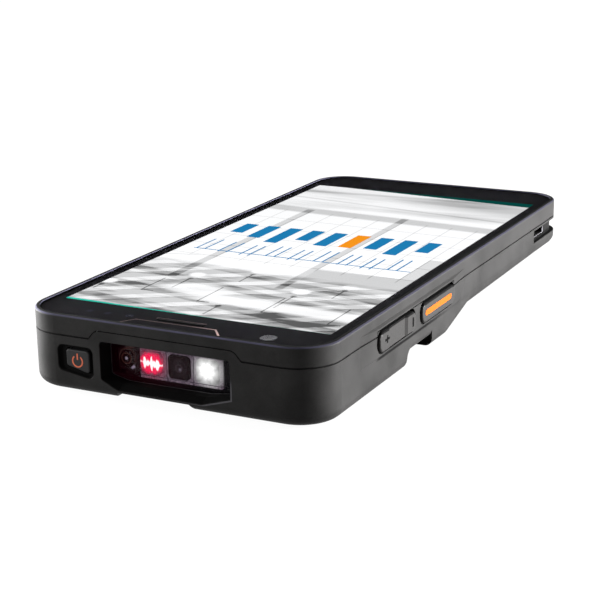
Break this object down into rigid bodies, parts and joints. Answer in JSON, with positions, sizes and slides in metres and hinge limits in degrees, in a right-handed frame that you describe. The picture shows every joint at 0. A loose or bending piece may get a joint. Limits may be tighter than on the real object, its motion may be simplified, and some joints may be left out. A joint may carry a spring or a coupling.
{
  "type": "handheld data terminal",
  "caption": "Rugged handheld barcode terminal with a full-face touch screen, a scan window in its top edge, side scan triggers, volume rocker, power key and latched battery.",
  "frame": {"origin": "centre of the footprint at the lowest face of the scanner head, with the terminal lying on its back", "axes": "+Z out of the screen, +Y along the long side away from the scan port, +X towards the side with the volume rocker"},
  "size_m": [0.08, 0.165, 0.0183],
  "materials": {
    "housing_plastic": "fine texture",
    "pack_plastic": "fine texture",
    "key_rubber": "satin",
    "stripe_orange": "satin",
    "cover_glass": "polished",
    "display": "smooth",
    "scan_glass": "polished",
    "lens_glass": "polished",
    "amber_lens": "polished",
    "engine_plastic": "satin",
    "led_red": "smooth",
    "led_white": "smooth",
    "clear_plastic": "smooth",
    "seal_rubber": "matte",
    "adhesive_film": "matte",
    "frame_metal": "machined",
    "screw_steel": "plated",
    "sheet_steel": "satin",
    "mesh_steel": "woven",
    "contact_gold": "plated",
    "circuit_board": "solder mask",
    "flex_film": "smooth",
    "module_black": "satin"
  },
  "bodies": {
    "terminal": {"front_housing": "housing_plastic", "rear_housing": "housing_plastic", "battery_pack": "pack_plastic", "cover_glass": "cover_glass", "display_panel": "display", "scan_window": "scan_glass", "window_gasket": "seal_rubber", "scan_engine_body": "engine_plastic", "imager_lens": "lens_glass", "red_illuminator": "led_red", "white_illuminator": "led_white", "aimer_module": "module_black", "aiming_lens": "amber_lens", "front_camera": "module_black", "earpiece_mesh": "mesh_steel", "proximity_sensor": "module_black", "status_light_pipe": "clear_plastic", "rear_camera": "module_black", "rear_camera_window": "lens_glass", "flash_led": "led_white", "loudspeaker": "module_black", "speaker_mesh": "mesh_steel", "usb_receptacle": "sheet_steel", "charging_contacts": "contact_gold", "housing_screws": "screw_steel", "mid_frame": "frame_metal", "glass_adhesive": "adhesive_film", "housing_gasket": "seal_rubber", "earpiece_receiver": "module_black", "microphones": "sheet_steel", "vibration_motor": "sheet_steel", "main_board": "circuit_board", "board_shields": "sheet_steel", "board_screws": "screw_steel", "backup_cell": "sheet_steel", "sub_board": "circuit_board", "link_flex": "flex_film", "display_flex": "flex_film", "engine_flex": "flex_film", "engine_bracket": "sheet_steel", "engine_screws": "screw_steel", "battery_connector": "module_black", "nfc_antenna": "flex_film", "main_antenna": "contact_gold", "left_key_boot": "seal_rubber", "right_key_boot": "seal_rubber", "power_key_boot": "seal_rubber", "left_key_switches": "flex_film", "right_key_switches": "flex_film", "power_key_switch": "flex_film", "left_key_bracket": "sheet_steel", "right_key_bracket": "sheet_steel", "power_key_bracket": "sheet_steel"},
    "power_button": {"power_button": "key_rubber"},
    "volume_rocker": {"volume_rocker": "key_rubber"},
    "left_trigger": {"left_trigger": "key_rubber", "left_trigger_stripe": "stripe_orange"},
    "right_trigger": {"right_trigger": "key_rubber", "right_trigger_stripe": "stripe_orange"},
    "battery_latch": {"battery_latch": "housing_plastic"}
  },
  "joints": [
    {"name": "power_press", "type": "slide", "parent": "terminal", "child": "power_button", "axis": [0, 1, 0], "range_m": [0, 0.00035], "stiffness_N_per_m": 1500, "springref_m": -0.0005},
    {"name": "volume_tilt", "type": "hinge", "parent": "terminal", "child": "volume_rocker", "pos_m": [0.0361, -0.04385, 0.0117], "axis": [0, 0, 1], "range_deg": [-1.8, 1.8], "stiffness_Nm_per_rad": 0.4},
    {"name": "left_trigger_press", "type": "slide", "parent": "terminal", "child": "left_trigger", "axis": [1, 0, 0], "range_m": [0, 0.0004], "stiffness_N_per_m": 1500, "springref_m": -0.0005},
    {"name": "right_trigger_press", "type": "slide", "parent": "terminal", "child": "right_trigger", "axis": [-1, 0, 0], "range_m": [0, 0.0004], "stiffness_N_per_m": 1500, "springref_m": -0.0005},
    {"name": "latch_slide", "type": "slide", "parent": "terminal", "child": "battery_latch", "axis": [0, 1, 0], "range_m": [0, 0.0022]}
  ]
}
